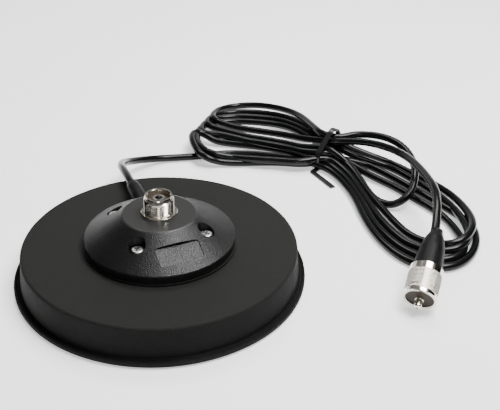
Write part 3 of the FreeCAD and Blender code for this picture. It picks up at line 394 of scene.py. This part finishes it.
RIGHT_FIRST_MM = [
    (100.0, 122.0, 5.3), (105.8, 113.6, 4.6), (111.7, 101.3, 4.0), (115.5, 86.6, 3.2), (118.8, 71.8, 2.8),
    (122.0, 54.2, 2.5), (128.4, 37.8, 2.5), (135.8, 24.4, 2.5), (146.3, 15.2, 2.5), (158.0, 14.7, 2.5),
    (167.3, 18.9, 3.0), (172.5, 28.8, 3.0), (171.8, 40.8, 2.5), (168.7, 56.3, 2.5), (162.3, 70.1, 2.5),
    (152.6, 82.8, 2.5), (140.8, 98.8, 2.5), (127.8, 110.4, 3.2), (114.3, 122.1, 6.0),
]
RIGHT_LAST_MM = [
    (102.3, 129.5, 9.4), (108.8, 124.9, 7.4), (114.7, 114.8, 6.1), (119.3, 100.1, 4.5), (124.1, 83.9, 3.5),
    (129.4, 69.9, 2.8), (134.8, 54.7, 2.5), (141.6, 40.0, 2.5), (151.2, 31.0, 3.2), (161.9, 25.7, 5.8),
    (171.4, 28.5, 8.0), (179.4, 42.1, 8.5), (180.7, 58.0, 7.5), (176.8, 81.9, 5.0), (169.0, 100.2, 3.2),
    (156.5, 115.9, 2.5), (143.9, 131.0, 2.5), (130.0, 134.6, 6.0), (115.1, 137.5, 10.5),
]
# Where the turns between lie at each point, from 0 at the first turn to 1 at the last.
LEFT_SHARES = [
    (0.27, 0.26, 0.26, 0.28, 0.30, 0.25, 0.35, 0.60, 0.65, 0.60, 0.57, 0.53, 0.45),
    (0.56, 0.55, 0.54, 0.57, 0.60, 0.58, 0.70, 0.78, 0.79, 0.745, 0.725, 0.69, 0.61),
]
RIGHT_SHARES = [
    (0.45, 0.45, 0.45, 0.45, 0.45, 0.45, 0.45, 0.45, 0.50, 0.60,
     0.55, 0.50, 0.55, 0.60, 0.65, 0.75, 0.79, 0.75, 0.60),
]


def tie_point(slot):
    """A strand's place in the tie, as a point."""
    across, up = slot
    x, y = TIE_CENTRE_MM + TIE_ACROSS * across
    return (x, y, up)


def fan(first, last, middle):
    """A lobe's turns from its first to its last, each of those between placed by its row of shares."""
    first, last = np.array(first), np.array(last)
    turns = [first] + [first + (last - first) * np.array(row)[:, None] for row in middle] + [last]
    return [[tuple(point) for point in turn] for turn in turns]


def lead_route():
    """The whole lead's control points in metres: in, five turns of the hank with the small loop, and out."""
    left = [LEFT_FREE_MM] + fan(LEFT_FIRST_MM, LEFT_LAST_MM, LEFT_SHARES)
    right = [RIGHT_FREE_MM] + fan(RIGHT_FIRST_MM, RIGHT_LAST_MM, RIGHT_SHARES) + [LOOP_MM]
    route = LEAD_MM + LEAD_INSIDE_MM
    for turn, (right_turn, left_turn) in enumerate(zip(right, left)):
        route = route + [tie_point(TIE_SLOTS["out"][turn])] + right_turn
        route = route + [tie_point(TIE_SLOTS["back"][turn])] + LEFT_BENDS_MM.get(turn, []) + left_turn
    route = route + [tie_point(TIE_SLOTS["out"][-1])] + TAIL_MM
    return [Vector(point) * MM for point in route]


LENGTH_STEPS = 12


def spline_length(points):
    """Length of the open quadratic spline with these control points, sampled."""
    total = 0.0
    corners = [points[0]] + [(a + b) / 2 for a, b in zip(points[1:-2], points[2:-1])] + [points[-1]]
    for start, bend, end in zip(corners, points[1:-1], corners[1:]):
        last = start
        for step in range(1, LENGTH_STEPS + 1):
            t = step / LENGTH_STEPS
            here = start * (1 - t) ** 2 + bend * 2 * t * (1 - t) + end * t ** 2
            total += (here - last).length
            last = here
    return total


def make_lead():
    """The lead as one round curve on its route, in place of the CAD model's plain tubes and hank."""
    points = lead_route()
    curve = bpy.data.curves.new("lead", "CURVE")
    curve.dimensions = "3D"
    spline = curve.splines.new("NURBS")
    spline.points.add(len(points) - 1)
    for control, point in zip(spline.points, points):
        control.co = (*point, 1.0)
    spline.order_u = 3
    spline.use_endpoint_u = True
    spline.resolution_u = 5
    curve.bevel_depth = CABLE_MM / 2 * MM
    curve.bevel_resolution = 3
    curve.use_fill_caps = True
    curve.materials.append(FINISHES["cable_vinyl"])
    lead = bpy.data.objects.new("lead", curve)
    scene.collection.objects.link(lead)
    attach(lead, "base")
    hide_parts("cord_lead", "cord_coil", "cord_loop", "cord_tail")
    spline_length(points)


make_lead()


# Floor, light and camera


FLOOR_HALF, FLOOR_FRONT, FLOOR_DEPTH, FLOOR_RISE = 4.0, -4.0, 2.2, 2.0
FLOOR_GLOW = 0.68


def make_floor():
    """A pale floor wide enough to fill the view, curved up far behind.

    The curve is a quarter circle of radius FLOOR_RISE: depth + rise * sin(a) back, rise * (1 - cos(a)) up.
    """
    half, depth, rise = FLOOR_HALF, FLOOR_DEPTH, FLOOR_RISE
    rows = [(FLOOR_FRONT, 0.0), (depth, 0.0)]
    for angle in np.linspace(0.1, math.pi / 2, 12):
        rows.append((depth + rise * math.sin(angle), rise * (1 - math.cos(angle))))
    vertices = [(side * half, y, z) for y, z in rows for side in (-1, 1)]
    faces = [(2 * i, 2 * i + 1, 2 * i + 3, 2 * i + 2) for i in range(len(rows) - 1)]
    mesh = bpy.data.meshes.new("floor")
    mesh.from_pydata(vertices, [], faces)
    white = Finish("floor_white", (0.93, 0.93, 0.93), 0.9, specular=0.0)
    white.set("Emission Color", (1.0, 1.0, 1.0, 1.0))
    white.set("Emission Strength", FLOOR_GLOW)
    mesh.materials.append(white.material)
    floor = bpy.data.objects.new("floor", mesh)
    scene.collection.objects.link(floor)


CARD_BLACK = Finish("card_black", (0.005, 0.005, 0.005), 0.9, specular=0.0).material


def area_light(name, place, aim, power, width, height):
    """A soft box at a place, facing what it is aimed at."""
    lamp = bpy.data.lights.new(name, "AREA")
    lamp.energy = power
    lamp.shape = "RECTANGLE"
    lamp.size = width
    lamp.size_y = height
    light = bpy.data.objects.new(name, lamp)
    light.location = place
    light.rotation_euler = (Vector(aim) - Vector(place)).to_track_quat("-Z", "Y").to_euler()
    scene.collection.objects.link(light)


CARD_FRONT, CARD_BACK, CARD_TOP = -0.9, 0.75, 0.75
CARD_LEFT, CARD_RIGHT = -0.75, 0.85


def dark_card(name, x):
    """An upright black card beside the set, for dark bands in the metal; the camera doesn't see it."""
    corners = [(x, CARD_FRONT, 0.0), (x, CARD_BACK, 0.0), (x, CARD_BACK, CARD_TOP), (x, CARD_FRONT, CARD_TOP)]
    mesh = bpy.data.meshes.new(name)
    mesh.from_pydata(corners, [], [(0, 1, 2, 3)])
    mesh.materials.append(CARD_BLACK)
    card = bpy.data.objects.new(name, mesh)
    card.visible_camera = False
    scene.collection.objects.link(card)


WORLD_STRENGTH = 0.16


def make_light():
    """A dim white surround, three soft boxes and the two dark cards."""
    world = bpy.data.worlds.new("studio")
    world.use_nodes = True
    background = world.node_tree.nodes["Background"]
    background.inputs["Color"].default_value = (1.0, 1.0, 1.0, 1.0)
    background.inputs["Strength"].default_value = WORLD_STRENGTH
    scene.world = world
    area_light("key", (0.36, 0.02, 0.95), (0.04, 0.02, 0.0), power=19.0, width=0.5, height=0.5)
    area_light("back", (0.05, 0.75, 1.05), (0.04, 0.05, 0.0), power=10.0, width=0.9, height=0.3)
    area_light("front", (0.06, -1.1, 0.35), (0.04, 0.0, 0.03), power=2.4, width=0.3, height=0.6)
    dark_card("card_left", CARD_LEFT)
    dark_card("card_right", CARD_RIGHT)


CAMERA_PLACE = (0.04754, -0.3728, 0.2654)
CAMERA_PITCH, CAMERA_ROLL = 0.535, 0.024
SENSOR_WIDTH = 36.0
FOCAL_PIXELS, IMAGE_WIDTH = 830.3, 500


def make_camera():
    """Above and in front, at the photo's angle: looking down 30.7 degrees, rolled slightly."""
    pitch, roll = CAMERA_PITCH, CAMERA_ROLL
    ahead = Vector((0.0, math.cos(pitch), -math.sin(pitch)))
    right = Vector((1.0, 0.0, 0.0))
    upward = right.cross(ahead)
    tilted_right = right * math.cos(roll) + upward * math.sin(roll)
    tilted_up = upward * math.cos(roll) - right * math.sin(roll)
    lens = bpy.data.cameras.new("camera")
    lens.sensor_fit = "HORIZONTAL"
    lens.sensor_width = SENSOR_WIDTH
    lens.lens = FOCAL_PIXELS / IMAGE_WIDTH * SENSOR_WIDTH
    lens.clip_start = 0.01
    camera = bpy.data.objects.new("camera", lens)
    place = Matrix((tilted_right, tilted_up, -ahead)).transposed().to_4x4()
    place.translation = CAMERA_PLACE
    camera.matrix_world = place
    scene.collection.objects.link(camera)
    scene.camera = camera


make_floor()
make_light()
make_camera()

bpy.context.view_layer.update()
